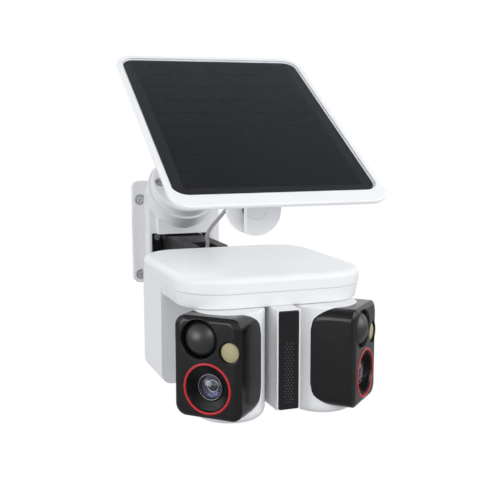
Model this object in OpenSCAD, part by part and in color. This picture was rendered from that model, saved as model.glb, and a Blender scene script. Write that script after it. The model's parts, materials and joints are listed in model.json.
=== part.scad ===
// Solar-powered security camera with two panning eyes, hung from a wall plate.
// Origin: centre of the four wall screws, on the wall face. +X right, +Y into the wall, +Z up.

/* [Wall mount] */
// Width of the wall plate
plate_w = 97; // [94:1:110]
// Height of the wall plate
plate_h = 111; // [108:1:125]
// Thickness of the wall plate
plate_t = 9; // [8:0.5:9]
// Spacing of the wall screws, both ways
screw_pitch = 82; // [78:1:84]
// Radius of the slanted disc that carries the solar arm
disc_r = 35.5; // [33:0.5:36]

/* [Camera head] */
// Width of the top lid
lid_w = 160; // [158:1:170]
// Depth of the top lid
lid_d = 169; // [166:1:172]
// Corner radius of the top lid
lid_r = 38; // [30:1:42]
// Height of the rear housing
housing_h = 90; // [88:1:94]
// Wall thickness of the housings
wall = 2.5; // [2.2:0.1:2.8]

/* [Eyes] */
// Distance of each eye's pan axis from the middle
pod_x = 40.3; // [40.3:0.1:41.5]
// Radius of each white eye body
pod_r = 28.5; // [28:0.1:28.5]
// Angle that each eye looks outward at rest
pod_yaw = 45; // [40:1:45]
// Width of the black face
face_w = 57.5; // [57:0.5:58]
// Radius of the red lens ring
ring_r = 20.4; // [19.8:0.1:20.4]

/* [Solar panel] */
// Width of the panel's glass
glass_w = 173; // [160:1:180]
// Length of the panel's glass
glass_l = 218; // [200:1:224]
// Slope of the panel at rest
panel_slope = 31; // [31:1:31]

/* [Hidden] */
$fn = 64;

gap = 0.3;                      // between pieces that move against each other
rim_z = -6;                     // underside of the lid, top of the rear housing
lid_top = 9;
floor_z = -18;                  // underside of the head chassis
tray_z = floor_z + 2.6;         // its inner floor
lid_front = -323;
lid_back = lid_front + lid_d;
head_y = (lid_front + lid_back) / 2;
bay_y = -243;                   // front edge of the rear housing's side walls
rear_y = -160;                  // rear face of the rear housing
housing_w = lid_w - 2;
housing_r = 24;                 // corner radius at the back of the rear housing
hinge_y = -120;                 // camera's tilt axis, along X
hinge_z = -16;
pod_y = -308;
pod_top = floor_z - gap;
pod_bottom = -106.5;
bar_bottom = -98.5;
lens_z = -75;
face_y = -38;                   // face plane in front of the pan axis
face_h = 80;
face_z = -59;
pir_u = -7;
pir_z = -37;
lamp_u = 18.6;
lamp_z = -45;
sun_teeth = 16;
pinion_teeth = 12;
tooth_module = 1;
gear_gap = 14.1;
knuckle_z = 53;                 // roll axis under the panel, along Y
tilt_y = -259;                  // panel's tilt axis, along X
tilt_z = 82;
panel_at = [0, -224.6, 127.8];  // middle of the glass
frame_side = 4.5;
frame_front = 15;
frame_w = glass_w + 2 * frame_side;
frame_l = glass_l + frame_side + frame_front;
frame_v = (frame_side - frame_front) / 2;
disc_at = [0, -35, 54.7];       // back of the solar arm's disc
disc_slope = 55;
arm_screw_at = 28;              // radius of the four screws through the disc
port_x = -30;
port_z = -30;
service_x = 38;
service_z = -54;

// Route of the solar cable's free stretch
CABLE = [[0, -188, 57.2], [0, -188, 52.6], [-2, -186.2, 46], [-5.6, -183.4, 40.4], [-8.8, -179.4, 35],
    [-11.2, -173.8, 29.8], [-12.4, -167.6, 24.8], [-12.2, -161.2, 19.6], [-10.6, -155.4, 14.6],
    [-9, -151.6, 10], [-9.2, -149.6, 5.6], [-12.4, -149, 1.6], [-17, -149.4, -1.6], [-22.6, -150, -5],
    [-27.4, -150.4, -9.4], [-30, -150.5, -14.6], [-30, -150.5, -19]];
cable_r = 1.75;
gland_z = CABLE[0][2] + 0.8;    // underside of the small boss that the cable comes out of

// Points round an arc, and round a rectangle with rounded corners
function arc(c, r, a0, a1, n = 8) =
    [for (i = [0:n]) let(a = a0 + (a1 - a0) * i / n) c + r * [cos(a), sin(a)]];
function round_box(w, h, r, n = 8) = concat(
    arc([w / 2 - r, h / 2 - r], r, 0, 90, n), arc([r - w / 2, h / 2 - r], r, 90, 180, n),
    arc([r - w / 2, r - h / 2], r, 180, 270, n), arc([w / 2 - r, r - h / 2], r, 270, 360, n));
function unit(v) = v / norm(v);
function tangent(p, i) = unit(p[min(i + 1, len(p) - 1)] - p[max(i - 1, 0)]);

// A straight-sided tooth: [quarter pitches from its middle, modules from the pitch line] at each corner
TOOTH = [[-1.25, -1.15], [-0.42, 0.8], [0.42, 0.8], [1.25, -1.15]];
// A gear outline with a tooth centred on +X
function gear_points(teeth, m) = [for (i = [0:teeth - 1], k = TOOTH)
    let(a = 360 / teeth * (i + k[0] / 4), r = m * (teeth / 2 + k[1])) r * [cos(a), sin(a)]];
// The rear housing's outline, t inside its outer face: flat sides, round back corners, open in front
function housing_plan(t) =
    let(w = housing_w / 2, c = [w - housing_r, rear_y - housing_r], front = bay_y - (t > 0 ? 1 : 0))
    concat([[w - t, front]], arc(c, housing_r - t, 0, 90), arc([-c[0], c[1]], housing_r - t, 90, 180),
        [[t - w, front]]);
// A block between two X, two Y and two Z values
module box(x, y, z) {
    translate([x[0], y[0], z[0]]) cube([x[1] - x[0], y[1] - y[0], z[1] - z[0]]);
}
// A plate of an XZ outline between two Y values
module slab_xz(points, y0, y1) {
    translate([0, y1, 0]) rotate([90, 0, 0]) linear_extrude(y1 - y0) polygon(points);
}
// A plate of a YZ outline between two X values
module side_plate(points, x0, x1) {
    translate([x0, 0, 0]) rotate([90, 0, 90]) linear_extrude(x1 - x0) polygon(points);
}
// Round bars along X and along Y
module rod_x(r, x0, x1, y, z, fn = $fn) {
    translate([x0, y, z]) rotate([0, 90, 0]) cylinder(r = r, h = x1 - x0, $fn = fn);
}
module rod_y(r, y0, y1, x = 0, z = 0, fn = $fn) {
    translate([x, y1, z]) rotate([90, 0, 0]) cylinder(r = r, h = y1 - y0, $fn = fn);
}
// Frames of the wall screws, the slanted disc, its four screws, the panel and the eyes
module on_plate() {
    for (x = [-1, 1], z = [-1, 1]) translate([x * screw_pitch / 2, 0, z * screw_pitch / 2]) children();
}
module on_disc() {
    translate(disc_at) rotate([disc_slope, 0, 0]) children();
}
module at_arm_screws() {
    on_disc() for (a = [0:90:270]) rotate([0, 0, a]) translate([arm_screw_at, 0, 0]) children();
}
module on_panel() {
    translate(panel_at) rotate([panel_slope, 0, 0]) children();
}
module in_pod(side) {
    translate([side * pod_x, pod_y, 0]) rotate([0, 0, side * pod_yaw]) children();
}

// ---- wall mount ----
module wall_plate() {
    color("white") difference() {
        translate([0, 0, 5.5]) slab_xz(round_box(plate_w, plate_h, 6), -plate_t, 0);
        on_plate() {
            rod_y(2.3, -plate_t - 1, 1);
            rod_y(5.6, -plate_t - 1, -4.5);
        }
        box([-plate_w / 2 - 1, 3 - plate_w / 2], [-5.5, -3.5], [-17, 28]);
    }
}
module wall_screws() {
    color("silver") on_plate() difference() {
        union() {
            rod_y(2.2, 0, 22);
            rod_y(2.1, -4.5, 0.5);
            rod_y(3.7, -7.2, -4.5);
        }
        box([-2.4, 2.4], [-8, -5.8], [-0.5, 0.5]);
        box([-0.5, 0.5], [-8, -5.8], [-2.4, 2.4]);
    }
}
module bracket_housing() {
    color("white") difference() {
        union() {
            slab_xz(round_box(72, 76, 5), -30, -plate_t);
            box([-28.5, 28.5], [-39, -29], [6, 23]);
            intersection() {
                on_disc() translate([0, 0, -70]) cylinder(r = disc_r + 2, h = 70);
                box([-45, 45], [-90, -plate_t], [7, 100]);
            }
        }
        box([-33.5, 31], [-40, -plate_t + 1], [-33, 6]);
        at_arm_screws() translate([0, 0, -9]) cylinder(r = 1.6, h = 12);
    }
}
module bracket_screws() {
    color("silver") for (x = [-24, 24], z = [-28, 0]) {
        rod_y(3.2, -15.4, -13, x, z);
        rod_y(1.5, -13, -9, x, z);
    }
}
module hinge_clevis() {
    ear = concat([[-13, -31], [-13, 3.9], [-116, 3.9]], arc([hinge_y, hinge_z], 20, 84, 276, 24),
        [[-116, -31]]);
    color("#26282b") difference() {
        union() {
            box([-30.5, 30.5], [-13, -plate_t], [-32.5, 5.5]);
            side_plate(ear, -20, 20);
        }
        box([-9.3, 9.3], [-145, -96], [-60, 30]);
        rod_x(4.02, -25, 25, hinge_y, hinge_z);
        for (x = [-24, 24], z = [-28, 0]) rod_y(1.5, -14, -8, x, z);
    }
}
module hinge_bolt() {
    color("silver") {
        rod_x(3.97, -20.1, 26, hinge_y, hinge_z);
        difference() {
            rod_x(6.6, -25, -20.1, hinge_y, hinge_z);
            rod_x(3, -26, -22.5, hinge_y, hinge_z, 6);
        }
    }
}
module hinge_nut() {
    color("silver") difference() {
        rod_x(7.2, 20.1, 25, hinge_y, hinge_z, 6);
        rod_x(3.97, 19, 27, hinge_y, hinge_z);
    }
}

// ---- solar arm: slanted disc, bent tube and front boss ----
arm_z = 70;
arm_r = 9;
boss_y = [-242.7, -232];
module arm_ring(y, z, r) {
    translate([0, y, z]) rotate([90, 0, 0]) cylinder(r = r, h = 1, $fn = 32);
}
module solar_arm() {
    color("white") difference() {
        union() {
            on_disc() cylinder(r = disc_r, h = 13);
            on_disc() translate([0, 0, 12]) cylinder(r1 = 20, r2 = arm_r + 1, h = 20);
            hull() {
                on_disc() translate([0, 0, 26]) cylinder(r = arm_r, h = 6, $fn = 32);
                arm_ring(-82, arm_z + 2, arm_r);
            }
            hull() {
                arm_ring(-84, arm_z + 2, arm_r);
                arm_ring(-205, arm_z - 3, arm_r);
            }
            hull() {
                arm_ring(-205, arm_z - 3, arm_r);
                arm_ring(boss_y[1] - 1, knuckle_z + 1, 13);
            }
            rod_y(14, boss_y[0], boss_y[1], 0, knuckle_z);
            translate([0, CABLE[0][1], gland_z]) cylinder(r = 5, h = 6);
        }
        at_arm_screws() {
            translate([0, 0, 5]) cylinder(r = 5.2, h = 10);
            translate([0, 0, -1]) cylinder(r = 1.8, h = 20);
        }
        rod_y(4, -245, -228, 0, knuckle_z);
        translate([0, CABLE[0][1], gland_z - 1]) cylinder(r = 3, h = 7);
    }
}
module arm_screws() {
    color("silver") at_arm_screws() {
        translate([0, 0, -8]) cylinder(r = 1.5, h = 13);
        difference() {
            translate([0, 0, 5]) cylinder(r = 3.4, h = 2.4);
            translate([0, 0, 6.2]) cylinder(r = 1.6, h = 3, $fn = 6);
        }
    }
}
module clamp_stud() {
    color("silver") {
        rod_y(4, -259.4, -229, 0, knuckle_z);
        rod_y(6.6, -261.6, -259.4, 0, knuckle_z, 6);
    }
}
module cable_grommet() {
    color("#55585c") translate([0, CABLE[0][1], gland_z]) difference() {
        union() {
            translate([0, 0, -0.1]) cylinder(r = 2.95, h = 5.6);
            translate([0, 0, -0.8]) cylinder(r1 = 3, r2 = 3.9, h = 0.8);
        }
        translate([0, 0, -2]) cylinder(r = 1, h = 9);
    }
}
module hand_nut() {
    ribs = 60;
    outline = [for (i = [0:2 * ribs - 1])
        let(a = 180 * i / ribs, r = i % 2 == 0 ? 22 : 21.3) r * [cos(a), sin(a)]];
    color("white") difference() {
        translate([0, 0, knuckle_z]) slab_xz(outline, -252.4, -243);
        rod_y(4.06, -254, -242, 0, knuckle_z);
        rod_y(15, -253, -249, 0, knuckle_z);
    }
}

// ---- knuckle under the panel ----
module knuckle_lug() {
    color("white") difference() {
        union() {
            intersection() {
                rod_y(22, -263, -255, 0, knuckle_z);
                box([-9, 23], [-264, -254], [knuckle_z - 23, knuckle_z + 23]);
            }
            box([-9, 9], [-263, -255], [knuckle_z + 10, tilt_z]);
            rod_x(6.5, -9, 9, tilt_y, tilt_z);
        }
        rod_y(4.06, -264, -254, 0, knuckle_z);
        rod_y(8.2, -264, -259.1, 0, knuckle_z);
        rod_x(2.55, -10, 10, tilt_y, tilt_z);
    }
}
module friction_washer() {
    color("#1c1d1f") difference() {
        rod_y(9.5, -255, -252.8, 0, knuckle_z);
        rod_y(4.1, -256, -252, 0, knuckle_z);
    }
}
module lug_cap() {
    color("white") rod_y(8.1, -263, -262, 0, knuckle_z);
}
module tilt_pin() {
    color("silver") {
        rod_x(2.45, -14, 14, tilt_y, tilt_z);
        rod_x(4, 14, 16, tilt_y, tilt_z);
    }
}

// ---- solar panel ----
tilt_v = (tilt_y - panel_at[1]) * cos(panel_slope) + (tilt_z - panel_at[2]) * sin(panel_slope);
tilt_n = (tilt_z - panel_at[2]) * cos(panel_slope) - (tilt_y - panel_at[1]) * sin(panel_slope);
module at_panel_screws() {
    on_panel() for (x = [-21, 21], v = [-16, 16]) translate([x, tilt_v + v, 0]) children();
}
// A level slab of the panel's own outline, inset all round, between two heights above the glass
module panel_slab(inset, r, n0, n1) {
    translate([0, frame_v, n0]) linear_extrude(n1 - n0)
        polygon(round_box(frame_w - 2 * inset, frame_l - 2 * inset, r));
}
module glass_slab(inset, r, n0, n1) {
    translate([0, 0, n0]) linear_extrude(n1 - n0)
        polygon(round_box(glass_w - 2 * inset, glass_l - 2 * inset, r));
}
module panel_bracket() {
    ear = concat([[tilt_v - 6.3, -13]], arc([tilt_v, tilt_n], 6.3, 180, 360, 16), [[tilt_v + 6.3, -13]]);
    color("white") difference() {
        union() {
            on_panel() translate([0, tilt_v, -14]) linear_extrude(2) polygon(round_box(52, 44, 6));
            on_panel() for (x = [-14, 9.4]) side_plate(ear, x, x + 4.6);
        }
        rod_x(2.5, -15, 15, tilt_y, tilt_z);
        at_panel_screws() translate([0, 0, -15]) cylinder(r = 1.5, h = 4);
    }
}
module panel_screws() {
    color("silver") at_panel_screws() {
        translate([0, 0, -15.8]) cylinder(r = 3, h = 1.8);
        translate([0, 0, -14]) cylinder(r = 1.5, h = 5);
    }
}
module panel_back() {
    color("whitesmoke") difference() {
        on_panel() hull() {
            panel_slab(15, 14, -12, -11);
            panel_slab(6.2, 11, -6.5, -6);
        }
        on_panel() panel_slab(18, 12, -9.5, -4.5);
        at_panel_screws() translate([0, 0, -13]) cylinder(r = 1.5, h = 6);
    }
}
module panel_frame() {
    color("white") difference() {
        on_panel() hull() {
            panel_slab(0, 17, -2.4, 0.8);
            panel_slab(6, 11, -6, -5.9);
        }
        on_panel() glass_slab(0, 13, -3.2, 1.8);
        on_panel() glass_slab(6, 9, -7, -2);
    }
}
module solar_cells() {
    color("#15171a") on_panel() glass_slab(0.1, 12.9, -3.2, -1.4);
}
module panel_glass() {
    color("#2b2e33", 0.4) on_panel() glass_slab(0.1, 12.9, -1.4, 0.2);
}

// ---- camera head ----
module head_outline(inset = 0) {
    translate([0, head_y]) polygon(round_box(lid_w - 2 * inset, lid_d - 2 * inset, lid_r - inset));
}
module top_lid() {
    color("white") difference() {
        hull() {
            translate([0, 0, rim_z]) linear_extrude(10) head_outline();
            translate([0, 0, lid_top - 2]) linear_extrude(2) head_outline(4);
        }
        translate([0, 0, rim_z - 1]) linear_extrude(12.4) head_outline(3);
    }
}
module lid_seal() {
    color("#3a3d40") difference() {
        translate([0, 0, rim_z]) linear_extrude(1.2) head_outline(3.2);
        translate([0, 0, rim_z - 1]) linear_extrude(4) head_outline(5.6);
    }
}
module head_chassis() {
    color("white") difference() {
        intersection() {
            hull() {
                translate([0, 0, rim_z - 1]) linear_extrude(1) head_outline();
                translate([0, 0, floor_z]) linear_extrude(1) head_outline(4);
            }
            union() {
                box([-lid_w, lid_w], [lid_front - 1, bay_y], [floor_z - 1, 0]);
                translate([0, 0, floor_z - 1]) linear_extrude(-floor_z) polygon(housing_plan(wall + gap));
            }
        }
        translate([0, 0, tray_z]) linear_extrude(20) head_outline(8);
        for (s = [-1, 1]) translate([s * pod_x, pod_y, floor_z - 1]) cylinder(r = 5.4, h = 6);
    }
}
module rear_housing() {
    h = housing_h;
    color("white") difference() {
        translate([0, 0, rim_z - h]) linear_extrude(h) polygon(housing_plan(0));
        translate([0, 0, rim_z - h + wall]) linear_extrude(h) polygon(housing_plan(wall));
        box([port_x - 5.5, port_x + 5.5], [-164, -159], [port_z - 2.5, port_z + 2.5]);
        box([service_x - 14, service_x + 14], [-164, -159], [service_z - 5, service_z + 5]);
        for (x = [-12, 12], z = [-11, -33]) rod_y(1.4, -164, -159, x, z);
    }
}
module front_wall() {
    w = housing_w / 2 - wall - 0.1;
    color("#e9eaec") box([-w, w], [bay_y, bay_y + 2.5], [rim_z - housing_h + wall + 0.1, floor_z - 0.1]);
}
module centre_bar() {
    color("white") difference() {
        box([-10, 10], [-335, bay_y], [bar_bottom, floor_z]);
        box([-8.5, 8.5], [-336, -333.6], [bar_bottom - 1, -19]);
        box([-7.8, 7.8], [-334, -322], [-92, -26]);
    }
}
module speaker_grille() {
    color("#141516") box([-8.4, 8.4], [-335.8, -334.4], [bar_bottom + 0.2, -44.1]);
}
module sensor_window() {
    color("#0b0c0d") box([-8.4, 8.4], [-335.8, -334.4], [-44, -19.2]);
}
module speaker() {
    color("#2d2f31") {
        box([-7.6, 7.6], [-330, -324], [-84, -56]);
        rod_y(6.2, -331, -330, 0, -70);
    }
}
module battery_pack() {
    color("#2f6db5") for (z = [-78, -58], y = [-228, -208]) rod_x(9.2, -66, 66, y, z);
}
module main_board() {
    color("#1f6b45") {
        box([-60, 60], [-185, -183.4], [-88, -24]);
        box([-30, -10], [-187, -185], [-60, -42]);
        box([8, 22], [-186.6, -185], [-70, -56]);
    }
}
module wifi_antenna() {
    color("#a9772f") box([-72, -71], [-225, -175], [-40, -26]);
}
module usb_socket() {
    color("silver") difference() {
        box([port_x - 4.5, port_x + 4.5], [-172, -163], [port_z - 1.8, port_z + 1.8]);
        box([port_x - 3.6, port_x + 3.6], [-170, -162], [port_z - 1, port_z + 1]);
    }
}
module rear_knuckle() {
    lug = concat([[-157, -34], [-157, -6.8], [-152, -6.8], [-128, -2.5]],
        arc([hinge_y, hinge_z], 14, 100, -100, 16), [[-128, -29.5]]);
    color("#26282b") difference() {
        union() {
            slab_xz([for (p = round_box(34, 31, 4)) p + [0, -22.3]], rear_y, rear_y + 3.2);
            side_plate(lug, -9, 9);
        }
        rod_x(4.03, -25, 25, hinge_y, hinge_z);
        for (x = [-12, 12], z = [-11, -33]) rod_y(1.4, -161, -155, x, z);
    }
}
module service_frame() {
    color("#2b2d30") difference() {
        box([service_x - 16, service_x + 16], [-166, -162.6], [service_z - 7, service_z + 7]);
        rod_y(3.06, -167, -162, service_x - 8, service_z);
        rod_y(1.66, -167, -162, service_x, service_z);
        box([service_x + 5, service_x + 13], [-167, -162], [service_z - 1.2, service_z + 1.2]);
    }
}
module service_flap() {
    color("#dfe1e4") union() {
        box([service_x - 16, service_x + 16], [rear_y + 0.3, rear_y + 2], [service_z - 6.4, service_z + 7]);
        box([service_x - 13, service_x + 13], [rear_y - 1, rear_y + 0.3], [service_z - 3.5, service_z + 4]);
    }
}
module push_button(r, collar, x) {
    color("#c9ccd0") {
        rod_y(r, -166.4, -161.8, x, service_z);
        rod_y(collar, -167.6, -166.4, x, service_z);
    }
}
module power_button() {
    push_button(3, 3.6, service_x - 8);
}
module reset_button() {
    push_button(1.6, 2.4, service_x);
}
module cable_plug() {
    color("#6d7074") {
        box([port_x - 5, port_x + 5], [rear_y, -146], [port_z - 3.4, port_z + 6]);
        box([port_x - 3.4, port_x + 3.4], [-163, rear_y], [port_z - 0.9, port_z + 0.9]);
        translate([port_x, -150.5, port_z + 6]) cylinder(r1 = 3.4, r2 = 2.2, h = 5);
    }
}
module solar_cable() {
    n = len(CABLE);
    sides = 8;
    points = [for (i = [0:n - 1]) let(t = tangent(CABLE, i), a = unit(cross(t, [1, 0, 0.2])), b = cross(t, a))
        for (k = [0:sides - 1]) CABLE[i] + cable_r * (a * cos(360 * k / sides) + b * sin(360 * k / sides))];
    skin = [for (i = [0:n - 2], k = [0:sides - 1]) let(p = i * sides, q = p + sides, j = (k + 1) % sides)
        [p + k, q + k, q + j, p + j]];
    near_end = [for (k = [0:sides - 1]) k];
    far_end = [for (k = [sides - 1:-1:0]) (n - 1) * sides + k];
    faces = concat([near_end], [far_end], skin);
    color("#8b8e92") polyhedron(points, faces);
}

// ---- pan drive: the fixed sun gear hangs on a hollow spindle, and the pod's pinion walks round it ----
module spindle(side) {
    color("ivory") in_pod(side) difference() {
        union() {
            translate([0, 0, tray_z]) cylinder(r = 6.7, h = 2);
            translate([0, 0, -29.6]) cylinder(r = 5.35, h = tray_z + 29.6);
            translate([0, 0, -29.6]) linear_extrude(5.2) polygon(gear_points(sun_teeth, tooth_module));
        }
        translate([0, 0, -31]) cylinder(r = 3.4, h = 30);
    }
}
module pinion(side) {
    color("ivory") in_pod(side) translate([0, gear_gap, 0]) {
        translate([0, 0, -29.4]) linear_extrude(4.8) rotate(180 / pinion_teeth)
            polygon(gear_points(pinion_teeth, tooth_module));
        translate([0, 0, -38]) cylinder(r = 1.5, h = 8.6);
    }
}
module motor(side) {
    color("silver") in_pod(side) translate([0, gear_gap, 0]) difference() {
        translate([0, 0, -47]) cylinder(r = 7, h = 16.5);
        translate([0, 0, -40]) cylinder(r = 1.56, h = 12);
    }
}
module left_spindle() { spindle(-1); }
module right_spindle() { spindle(1); }
module left_pinion() { pinion(-1); }
module right_pinion() { pinion(1); }
module left_motor() { motor(-1); }
module right_motor() { motor(1); }

// ---- eyes ----
module pod_body(side) {
    r = pod_r;
    t = 2.2;
    edge = 8;
    function floor_arc(bend) = arc([r - edge, pod_bottom + edge], bend, 270, 360);
    color("white") in_pod(side) difference() {
        rotate_extrude() polygon(concat([[0, pod_bottom]], floor_arc(edge),
            [[r, pod_top - 1.5], [r - 1.5, pod_top], [0, pod_top]]));
        difference() {
            rotate_extrude() polygon(concat([[0, pod_bottom + t]], floor_arc(edge - t),
                [[r - t, pod_top - 2.7], [0, pod_top - 2.7]]));
            box([-9, 9], [6, 40], [-49, -47]);
        }
        translate([0, 0, pod_top - 4]) cylinder(r = 5.42, h = 6);
        box([-22.5, 24], [-40, -8], [-97, -24]);
    }
}
module face_shell(side) {
    color("#101113") in_pod(side) difference() {
        hull() {
            slab_xz([for (p = round_box(face_w, face_h, 12)) p + [0, face_z]], face_y + 2.4, -3);
            slab_xz([for (p = round_box(face_w - 12, face_h - 6, 9)) p + [0, face_z]], face_y, face_y + 1);
        }
        translate([0, 0, -120]) cylinder(r = pod_r + 0.1, h = 120);
        box([-24.4, 24.4], [-34, 0], [-96, -24]);
        rod_y(ring_r + 0.1, -40, -30, 0, lens_z);
        rod_y(15.3, -40, -30, pir_u, pir_z);
        rod_y(8.3, -40, -30, lamp_u, lamp_z);
    }
}
module lens_ring(side) {
    color("#c8161d") in_pod(side) difference() {
        rod_y(ring_r, face_y - 0.5, face_y + 1.5, 0, lens_z);
        rod_y(ring_r - 2.4, face_y - 1, face_y + 2, 0, lens_z);
    }
}
module lens_barrel(side) {
    profile = [[9.6, 11], [12, 11], [12, 9], [14, 9], [14, 6.4], [16, 6.4], [16, 3.6], [17.9, 3.6],
        [17.9, 1.5], [ring_r, 1.5], [ring_r, 13], [13, 13], [13, 26], [0, 26], [0, 8.4], [4, 8], [7, 6.9],
        [9.6, 5]];
    color("#0d0e10") in_pod(side) {
        translate([0, face_y, lens_z]) rotate([-90, 0, 0]) rotate_extrude() polygon(profile);
        box([-16, 16], [-12, -10.4], [lens_z - 16, lens_z + 16]);
    }
}
module pir_dome(side) {
    profile = concat([[0, 5], [15.2, 5], [15.2, 2.4], [13.9, 2.4]], arc([0, 13], 17.5, -37.5, -90, 8));
    color("#1a1b1e") in_pod(side) translate([pir_u, face_y, pir_z]) rotate([-90, 0, 0])
        rotate_extrude() polygon(profile);
}
module spotlight(side) {
    color("#e7dfa8") in_pod(side) translate([lamp_u, face_y, lamp_z]) rotate([-90, 0, 0])
        rotate_extrude() polygon([[0, 4], [8.2, 4], [8.2, 0.4], [7.4, 0], [7, 1], [0, 1]]);
}
module left_pod_body() { pod_body(-1); }
module right_pod_body() { pod_body(1); }
module left_face_shell() { face_shell(-1); }
module right_face_shell() { face_shell(1); }
module left_lens_ring() { lens_ring(-1); }
module right_lens_ring() { lens_ring(1); }
module left_lens_barrel() { lens_barrel(-1); }
module right_lens_barrel() { lens_barrel(1); }
module left_pir_dome() { pir_dome(-1); }
module right_pir_dome() { pir_dome(1); }
module left_spotlight() { spotlight(-1); }
module right_spotlight() { spotlight(1); }

wall_plate();
wall_screws();
bracket_housing();
bracket_screws();
hinge_clevis();
hinge_bolt();
hinge_nut();
solar_arm();
arm_screws();
clamp_stud();
cable_grommet();
hand_nut();
knuckle_lug();
friction_washer();
lug_cap();
tilt_pin();
panel_bracket();
panel_screws();
panel_back();
solar_cells();
panel_glass();
panel_frame();
rear_knuckle();
rear_housing();
front_wall();
centre_bar();
head_chassis();
lid_seal();
top_lid();
speaker_grille();
sensor_window();
speaker();
battery_pack();
main_board();
wifi_antenna();
usb_socket();
service_frame();
service_flap();
power_button();
reset_button();
cable_plug();
solar_cable();
left_spindle();
right_spindle();
left_pinion();
right_pinion();
left_motor();
right_motor();
left_pod_body();
right_pod_body();
left_face_shell();
right_face_shell();
left_lens_ring();
right_lens_ring();
left_lens_barrel();
right_lens_barrel();
left_pir_dome();
right_pir_dome();
left_spotlight();
right_spotlight();
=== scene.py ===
"""Looks of the solar security camera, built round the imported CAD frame. Metres, +Y into the wall, +Z up."""
import json
import math

import bmesh
import bpy
from mathutils import Matrix, Vector


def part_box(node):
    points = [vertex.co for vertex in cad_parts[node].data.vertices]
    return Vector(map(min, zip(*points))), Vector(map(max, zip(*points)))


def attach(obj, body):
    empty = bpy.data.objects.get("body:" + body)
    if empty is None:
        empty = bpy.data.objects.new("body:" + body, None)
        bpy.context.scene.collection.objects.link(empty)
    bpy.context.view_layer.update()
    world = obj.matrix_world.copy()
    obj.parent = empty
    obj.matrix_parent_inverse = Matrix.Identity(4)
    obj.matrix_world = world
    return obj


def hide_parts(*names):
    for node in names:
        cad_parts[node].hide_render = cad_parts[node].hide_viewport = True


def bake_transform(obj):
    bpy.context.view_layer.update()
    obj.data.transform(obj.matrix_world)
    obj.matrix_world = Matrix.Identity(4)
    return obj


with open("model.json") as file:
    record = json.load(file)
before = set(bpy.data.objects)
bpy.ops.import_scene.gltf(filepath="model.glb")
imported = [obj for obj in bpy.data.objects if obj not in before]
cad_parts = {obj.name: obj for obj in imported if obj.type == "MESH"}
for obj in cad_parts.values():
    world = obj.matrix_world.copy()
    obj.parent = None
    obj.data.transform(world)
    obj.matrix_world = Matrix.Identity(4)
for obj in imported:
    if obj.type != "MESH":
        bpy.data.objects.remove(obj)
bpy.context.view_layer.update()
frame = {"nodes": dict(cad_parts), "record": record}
MM = 0.001

# Driving places and angles of the object
POD_X = 40.3 * MM
POD_Y = -308 * MM
POD_YAW = math.radians(45)
FACE_Y = -38 * MM
PIR_AT = (-7 * MM, -37 * MM)
LENS_AT = (0, -75 * MM)
LAMP_AT = (18.6 * MM, -45 * MM)
ON_PANEL = Matrix.Translation((0, -0.2246, 0.1278)) @ Matrix.Rotation(math.radians(31), 4, "X")
ON_DISC = Matrix.Translation((0, -0.035, 0.0547)) @ Matrix.Rotation(math.radians(55), 4, "X")
FACING = Matrix.Rotation(math.radians(90), 4, "X")  # turns +Z to the front, -Y
SIDES = {"left": -1, "right": 1}

# The solar lead's route in millimetres, the same points as in part.scad
CABLE = [
    (0, -188, 57.2), (0, -188, 52.6), (-2, -186.2, 46), (-5.6, -183.4, 40.4), (-8.8, -179.4, 35),
    (-11.2, -173.8, 29.8), (-12.4, -167.6, 24.8), (-12.2, -161.2, 19.6), (-10.6, -155.4, 14.6),
    (-9, -151.6, 10), (-9.2, -149.6, 5.6), (-12.4, -149, 1.6), (-17, -149.4, -1.6), (-22.6, -150, -5),
    (-27.4, -150.4, -9.4), (-30, -150.5, -14.6), (-30, -150.5, -19),
]
CABLE_R = 1.75 * MM

POD_R = 28.5 * MM
LID_CORNER = 38 * MM
ARM_SCREW_AT = 28 * MM  # radius of the ring of screws through the arm's disc
FLOOR_Z = -0.34
FLOOR_HALF = 12

# The viewpoint
LENS_MM = 65.73
CAMERA_AT = (-0.26572, -0.97872, 0.13155)
CAMERA_TURN = (math.radians(81.61), 0, math.radians(-19.93))

BODY_OF = {n: b for b, members in frame["record"]["behaviour"]["bodies"].items() for n in members}
SLOT_OF = {p["node"]: p["material_slot"] for p in frame["record"]["subparts"]}


# ---------------------------------------------------------------- camera, light and floor
def make_camera():
    """The viewpoint: 20 degrees round to the left and a little above the lid."""
    data = bpy.data.cameras.new("camera")
    data.lens = LENS_MM
    data.sensor_width = 36
    data.clip_end = 50
    cam = bpy.data.objects.new("camera", data)
    cam.location = CAMERA_AT
    cam.rotation_euler = CAMERA_TURN
    bpy.context.scene.collection.objects.link(cam)
    bpy.context.scene.camera = cam


def make_softbox(name, at, size, watts, aim=(0, -0.22, 0)):
    """A rectangular studio light aimed at a point on the object."""
    data = bpy.data.lights.new(name, "AREA")
    data.shape = "RECTANGLE"
    data.size, data.size_y = size
    data.energy = watts
    lamp = bpy.data.objects.new(name, data)
    lamp.location = at
    lamp.rotation_euler = (Vector(aim) - Vector(at)).to_track_quat("-Z", "Y").to_euler()
    bpy.context.scene.collection.objects.link(lamp)


def make_world():
    """A pale studio, dimmer overhead than at the horizon, seen as plain white."""
    world = bpy.data.worlds.new("studio")
    bpy.context.scene.world = world
    world.use_nodes = True
    nodes, links = world.node_tree.nodes, world.node_tree.links
    back = nodes["Background"]
    direction = nodes.new("ShaderNodeTexCoord").outputs["Generated"]
    axes = nodes.new("ShaderNodeSeparateXYZ")
    links.new(direction, axes.inputs["Vector"])
    height = map_range(nodes, links, axes.outputs["Z"], 1.02, 0.38, (0.30, 0.90))
    links.new(height, back.inputs["Strength"])
    back.inputs["Color"].default_value = (0.97, 0.985, 1.0, 1)
    seen = nodes.new("ShaderNodeBackground")
    seen.inputs["Color"].default_value = (1, 1, 1, 1)
    join_seen(nodes, links, back.outputs["Background"], seen.outputs["Background"], nodes["World Output"])


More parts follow.
